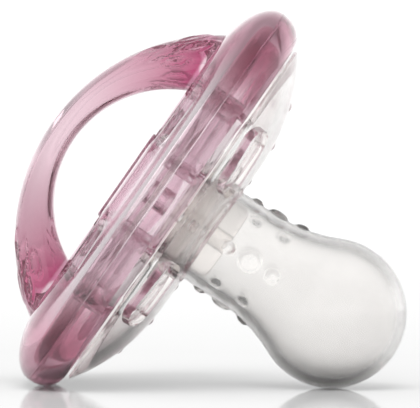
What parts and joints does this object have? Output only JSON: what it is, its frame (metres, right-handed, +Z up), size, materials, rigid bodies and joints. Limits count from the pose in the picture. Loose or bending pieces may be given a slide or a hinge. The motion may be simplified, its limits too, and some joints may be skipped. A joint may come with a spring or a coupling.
{
  "type": "pacifier",
  "caption": "Baby pacifier: squared oval pink shield with a moulded arch handle, a clear dished mouth guard and a hollow round-bulb silicone teat with soft nubs.",
  "frame": {"origin": "middle of the bounding box at the surface that the loose object stands on", "axes": "+X from the handle towards the teat, +Y across the shield, +Z up, with the object leaning on its rim's lower end and on the bulb of its teat"},
  "size_m": [0.0514, 0.043, 0.0495],
  "materials": {
    "pink_plastic": "polished transparent pink plastic",
    "clear_plastic": "polished clear plastic with a faint warm grey tint",
    "silicone": "translucent soft silicone with a satin skin"
  },
  "bodies": {
    "root": {"front_shell": "pink_plastic", "rear_shell": "pink_plastic", "mouth_guard": "clear_plastic", "teat": "silicone", "teat_plug": "clear_plastic"}
  },
  "joints": []
}
